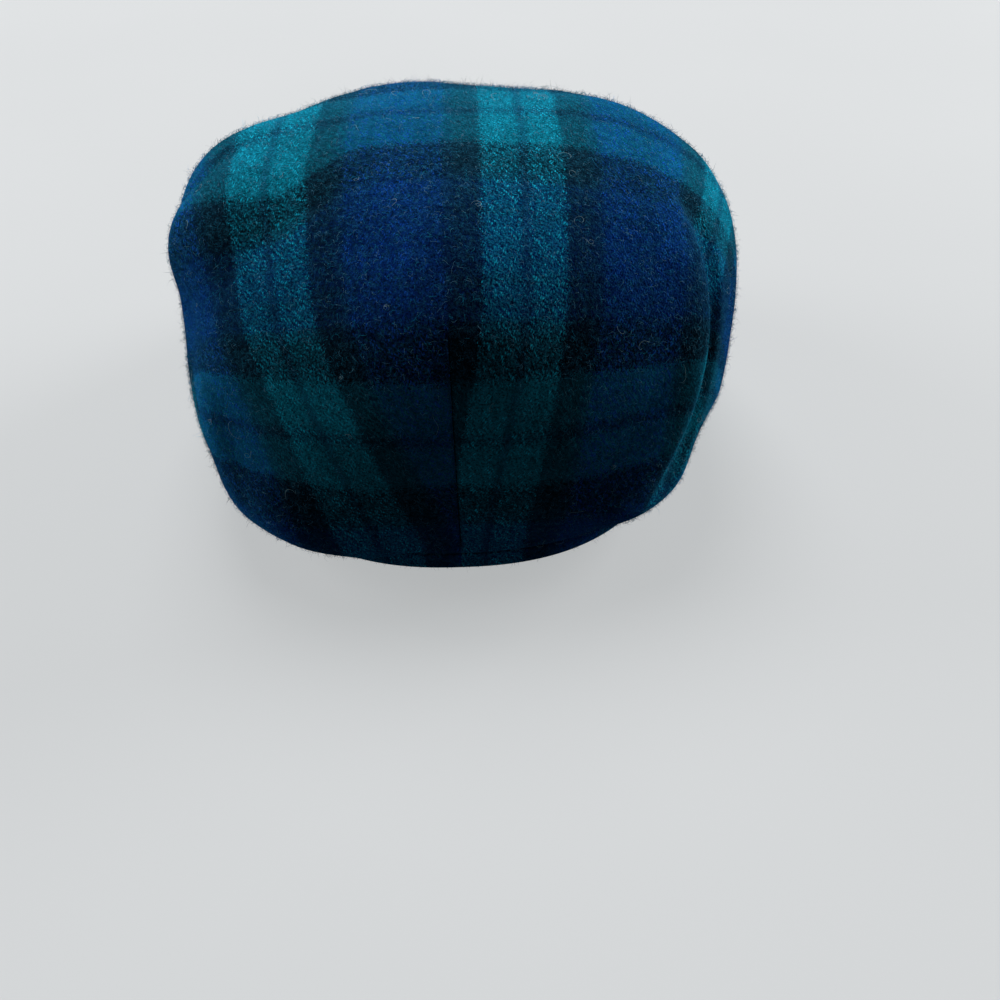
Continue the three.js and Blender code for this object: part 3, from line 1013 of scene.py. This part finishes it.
def nap_materials(name, pair):
    """One material for each tone, in the blend of two yarns."""
    seen = [np.array(YARN[letter]) ** (1 / EYE_GAMMA) for letter in pair]
    mean = ((seen[0] + seen[1]) / 2) ** EYE_GAMMA
    colours = [(mean + np.array(NAP_LIFT)) * tone for tone in NAP_TONES]
    return [fibre_colour(f"nap_{name}_{number}", colour) for number, colour in enumerate(colours)]


def build_nap(crown, band, peak):
    letters = list(YARN)
    worn = np.array([letters.index(NAP_YARN[letter]) for letter in letters])
    materials = {name: nap_materials(name, pair) for name, pair in NAP_KINDS.items()}
    for style, number, usual, least_lean, greatest_lean in FIBRES:
        points, normals, u, v = nap_samples(crown, band, peak, number)
        warp = worn[yarn_at(u, WARP_START, WARP_THREAD)]
        weft = worn[yarn_at(v, WEFT_START, WEFT_THREAD)]
        shape = spikes if style == "short" else curls
        for name, pair in NAP_KINDS.items():
            first, second = (letters.index(letter) for letter in pair)
            here = ((warp == first) & (weft == second)) | ((warp == second) & (weft == first))
            count = int(here.sum())
            length = np.clip(rng.lognormal(math.log(usual), LENGTH_SPREAD, count), *LENGTH_LIMITS)
            lean = np.radians(rng.uniform(least_lean, greatest_lean, count))
            width = FIBRE_WIDTH * rng.uniform(*WIDTH_SHARES, count)
            vertices, faces = shape(points[here], normals[here], length, lean, width)
            vertices[:, 2] = np.maximum(vertices[:, 2], FLOOR_CLEARANCE)
            title = f"nap_{style}_{name}"
            piece = new_mesh(title, vertices, faces, materials[name], smooth=False)
            tone = np.repeat(rng.integers(0, len(NAP_TONES), count), len(faces) // count)
            piece.data.polygons.foreach_set("material_index", tone.astype(np.int32))


def curled_hairs(points, normals, steps, shortest, longest, width):
    """Closed three-sided hairs that wind along the surface: vertices and triangles."""
    count = len(points)
    heading = tangents(normals)
    curl = rng.normal(0, HAIR_CURL, count)
    step = rng.uniform(shortest, longest, count)
    lift = rng.uniform(*HAIR_RISE, count)
    line = [points - normals * HAIR_ROOT]
    for number in range(steps):
        curl = curl + rng.normal(0, HAIR_WANDER, count)
        sideways = np.cross(normals, heading)
        heading = heading * np.cos(curl)[:, None] + sideways * np.sin(curl)[:, None]
        rise = lift * math.sin(math.pi * (number + 1) / steps)
        away = line[-1] + heading * step[:, None] - points
        away = away - normals * (away * normals).sum(1)[:, None]
        drop = (away ** 2).sum(1) / CROWN_WIDTH
        line.append(points + away + normals * (rise + HAIR_LIFT - drop)[:, None])
    line = np.stack(line, 1)
    along = np.gradient(line, axis=1)
    along /= np.linalg.norm(along, axis=-1, keepdims=True) + TINY
    first, second = square_directions(along, normals[:, None, :])
    vertices = np.stack(ring(line, first, second, width / 2), 2).reshape(-1, 3)
    pattern = [(2, 1, 0)]
    for low in range(0, steps * 3, 3):
        high = low + 3
        for here, after in ((0, 1), (1, 2), (2, 0)):
            pattern += [(low + here, low + after, high + after), (low + here, high + after, high + here)]
    pattern.append((steps * 3, steps * 3 + 1, steps * 3 + 2))
    return vertices, repeated(pattern, count, (steps + 1) * 3)


def build_hairs(crown):
    grid = crown[1]
    normal = grid_normals(grid)
    for name, count, steps, shortest, longest, width, colour in HAIRS:
        points, normals, _ = surface_samples(grid, normal, count)
        vertices, faces = curled_hairs(points, normals, steps, shortest, longest, width)
        new_mesh(name, vertices, faces, fibre_colour(name, colour))


# Floor, light and camera

CAMERA_PLACE = np.array([11.31, -384.75, 295.59])   # from the opening's middle, in millimetres
CAMERA_TURN = 0.878            # degrees to the right of straight ahead
CAMERA_PITCH = 42.37           # degrees down
CAMERA_ROLL = -1.272
CAMERA_SENSOR = 36.0
CAMERA_LENS = 37.15
ROOM_RADIUS = 6.0              # metres
ROOM_SIDES = 96
WORLD_COLOUR = (0.88, 0.94, 1.0)
WORLD_LIGHT = 0.085
LAMP_SIZE = 1.6                # metres
# Lamps: name, place and the height on the middle axis that it faces in metres, and power in watts
LAMPS = [
    ("overhead", (-0.27, 1.44, 2.43), 0.05, 81.0),
    ("right_window", (2.52, 1.22, 0.90), 0.08, 130.0),
    ("left_window", (-2.56, 0.80, 0.82), 0.08, 86.0),
]


def stage_mesh(name, points, faces, material):
    """Part of the surroundings. It throws no light on the cap, which was shown high above them."""
    mesh = bpy.data.meshes.new(name)
    mesh.from_pydata(points, [], faces)
    mesh.materials.append(material)
    stage = bpy.data.objects.new(name, mesh)
    bpy.context.scene.collection.objects.link(stage)
    stage.visible_diffuse = False
    stage.visible_glossy = False
    return stage


def build_room():
    """A round floor and the wall round it."""
    turns = [2 * math.pi * side / ROOM_SIDES for side in range(ROOM_SIDES)]
    foot = [(ROOM_RADIUS * math.cos(turn), ROOM_RADIUS * math.sin(turn), 0.0) for turn in turns]
    head = [(x, y, ROOM_RADIUS) for x, y, _ in foot]
    walls = []
    for side in range(ROOM_SIDES):
        after = (side + 1) % ROOM_SIDES
        walls.append((side, after, ROOM_SIDES + after, ROOM_SIDES + side))
    stage_mesh("floor", foot, [tuple(range(ROOM_SIDES))], pale_floor())
    wall = stage_mesh("wall", foot + head, walls, pale_wall())
    wall.visible_shadow = False


def build_lamp(name, place_m, aim_height, power):
    data = bpy.data.lights.new(name, "AREA")
    data.shape = "DISK"
    data.size = LAMP_SIZE
    data.energy = power
    lamp = bpy.data.objects.new(name, data)
    lamp.location = place_m
    direction = Vector((0, 0, aim_height)) - Vector(place_m)
    lamp.rotation_euler = direction.to_track_quat("-Z", "Y").to_euler()
    bpy.context.scene.collection.objects.link(lamp)


def build_camera():
    yaw, pitch, roll = (math.radians(a) for a in (CAMERA_TURN, CAMERA_PITCH, CAMERA_ROLL))
    ahead = Vector((math.sin(yaw) * math.cos(pitch), math.cos(yaw) * math.cos(pitch), -math.sin(pitch)))
    level = Vector((math.cos(yaw), -math.sin(yaw), 0))
    upright = level.cross(ahead)
    right = level * math.cos(roll) + upright * math.sin(roll)
    up = upright * math.cos(roll) - level * math.sin(roll)
    data = bpy.data.cameras.new("camera")
    data.sensor_width = CAMERA_SENSOR
    data.lens = CAMERA_LENS
    camera = bpy.data.objects.new("camera", data)
    turn = Matrix((right, up, -ahead)).transposed().to_4x4()
    camera.matrix_world = Matrix.Translation(Vector((CAMERA_PLACE + CENTRE) * MM)) @ turn
    bpy.context.scene.collection.objects.link(camera)
    bpy.context.scene.camera = camera


def build_world():
    world = bpy.data.worlds.new("pale_room")
    world.use_nodes = True
    back = world.node_tree.nodes["Background"]
    back.inputs["Color"].default_value = (*WORLD_COLOUR, 1.0)
    back.inputs["Strength"].default_value = WORLD_LIGHT
    bpy.context.scene.world = world


build_camera()
build_world()
build_room()
for lamp in LAMPS:
    build_lamp(*lamp)
bpy.context.scene.view_settings.view_transform = "Standard"

wool = tartan_wool("tartan_wool")
crown = build_crown(wool)
band = build_band(wool)
peak = build_peak(wool)
build_nap(crown, band, peak)
build_hairs(crown)
